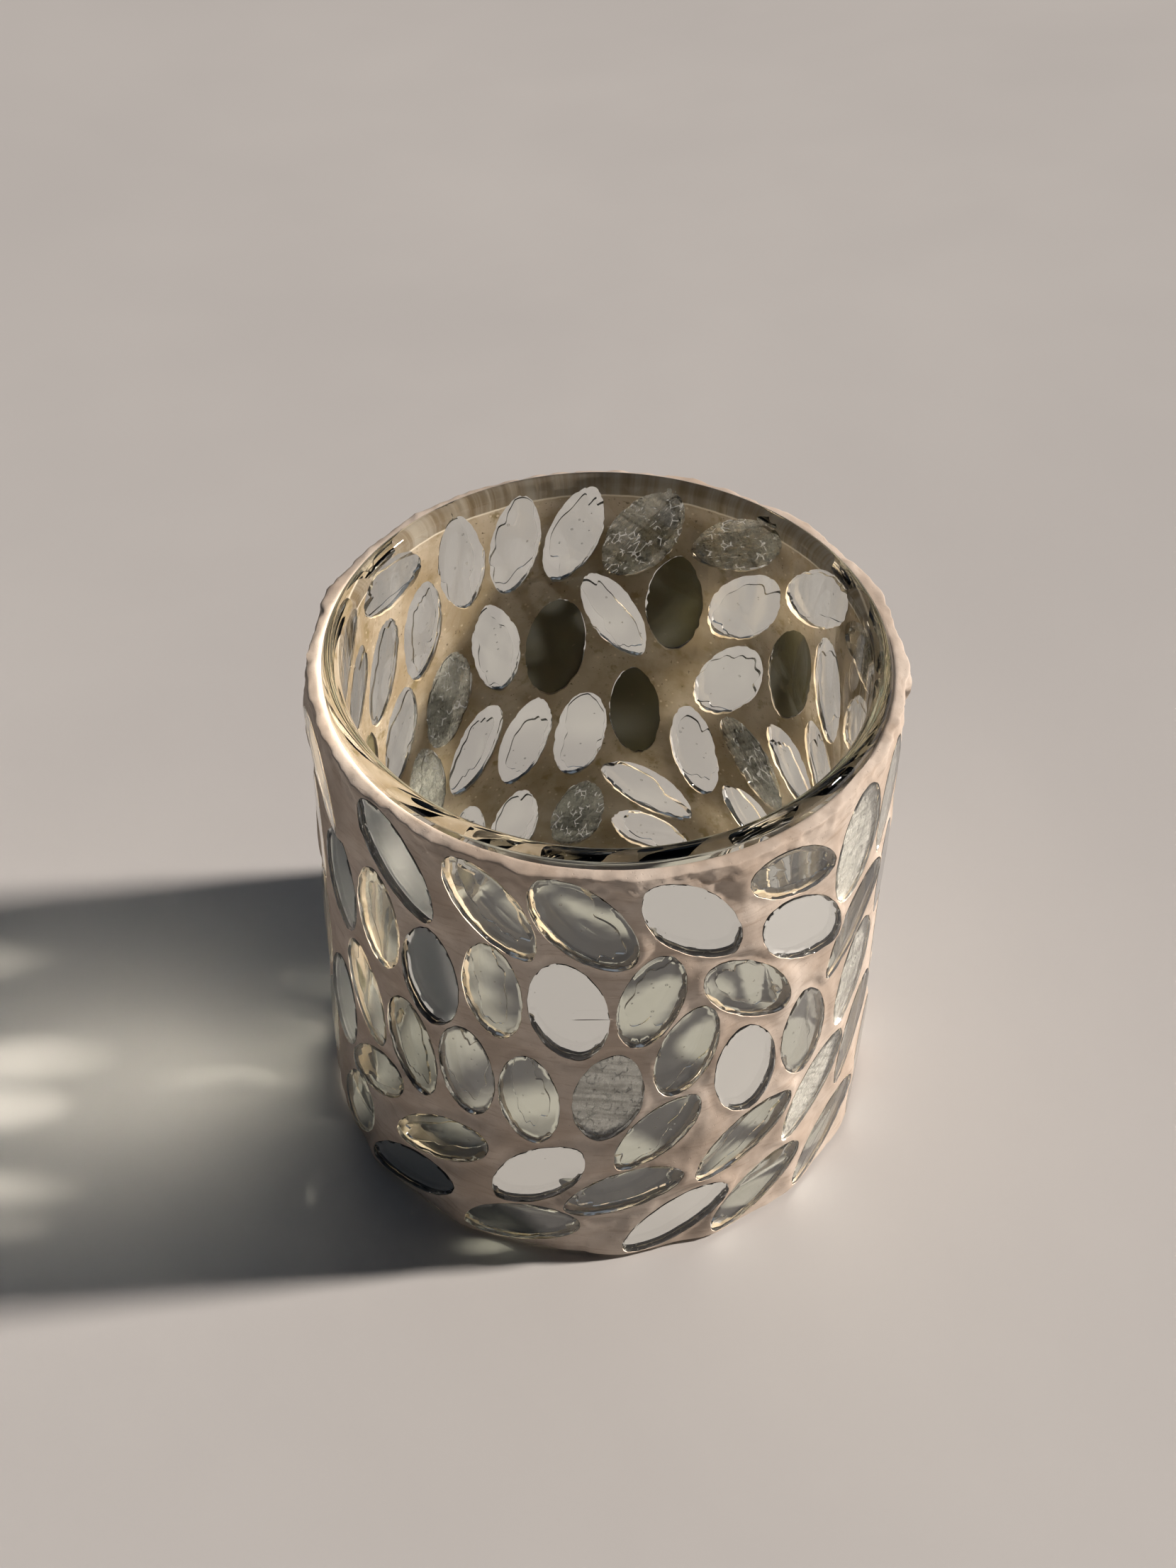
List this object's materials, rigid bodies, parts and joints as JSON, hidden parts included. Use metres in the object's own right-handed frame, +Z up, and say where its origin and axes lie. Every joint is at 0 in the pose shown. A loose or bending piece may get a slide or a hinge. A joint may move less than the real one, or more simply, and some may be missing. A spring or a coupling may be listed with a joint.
{
  "type": "mosaic tealight holder",
  "caption": "Straight glass tealight cup clad in flat oval mirror, clear and textured glass tesserae set in cream grout.",
  "frame": {"origin": "middle of the flat glass base that the holder stands on", "axes": "+Z up along the cup's axis, towards its mouth; -Y faces the front view"},
  "size_m": [0.0996, 0.0997, 0.1],
  "materials": {
    "cup_glass": "clear pressed glass, faintly green, fire-polished rim",
    "cream_grout": "cream cement grout, wiped smooth with faint brush marks, rougher at its top edge",
    "mirror_glass": "clear glass silvered and painted olive brown on the back, chipped at its edges",
    "clear_glass": "clear green-tinged glass with hand-cut edges",
    "textured_glass": "grey streaky crackled glass, low gloss"
  },
  "bodies": {
    "root": {"clear_oval_01": "clear_glass", "clear_oval_02": "clear_glass", "clear_oval_03": "clear_glass", "clear_oval_04": "clear_glass", "clear_oval_05": "clear_glass", "clear_oval_06": "clear_glass", "clear_oval_07": "clear_glass", "clear_oval_08": "clear_glass", "clear_oval_09": "clear_glass", "clear_oval_10": "clear_glass", "clear_oval_11": "clear_glass", "clear_oval_12": "clear_glass", "clear_oval_13": "clear_glass", "clear_oval_14": "clear_glass", "clear_oval_15": "clear_glass", "clear_oval_16": "clear_glass", "clear_oval_17": "clear_glass", "clear_oval_18": "clear_glass", "clear_oval_19": "clear_glass", "clear_oval_20": "clear_glass", "clear_oval_21": "clear_glass", "clear_oval_22": "clear_glass", "clear_oval_23": "clear_glass", "clear_oval_24": "clear_glass", "glass_cup": "cup_glass", "grout_jacket": "cream_grout", "mirror_oval_01": "mirror_glass", "mirror_oval_02": "mirror_glass", "mirror_oval_03": "mirror_glass", "mirror_oval_04": "mirror_glass", "mirror_oval_05": "mirror_glass", "mirror_oval_06": "mirror_glass", "mirror_oval_07": "mirror_glass", "mirror_oval_08": "mirror_glass", "mirror_oval_09": "mirror_glass", "mirror_oval_10": "mirror_glass", "mirror_oval_11": "mirror_glass", "mirror_oval_12": "mirror_glass", "mirror_oval_13": "mirror_glass", "mirror_oval_14": "mirror_glass", "mirror_oval_15": "mirror_glass", "mirror_oval_16": "mirror_glass", "mirror_oval_17": "mirror_glass", "mirror_oval_18": "mirror_glass", "mirror_oval_19": "mirror_glass", "mirror_oval_20": "mirror_glass", "textured_oval_01": "textured_glass", "textured_oval_02": "textured_glass", "textured_oval_03": "textured_glass", "textured_oval_04": "textured_glass", "textured_oval_05": "textured_glass", "textured_oval_06": "textured_glass", "textured_oval_07": "textured_glass", "textured_oval_08": "textured_glass", "textured_oval_09": "textured_glass", "textured_oval_10": "textured_glass", "textured_oval_11": "textured_glass", "textured_oval_12": "textured_glass", "textured_oval_13": "textured_glass", "textured_oval_14": "textured_glass"}
  },
  "joints": []
}
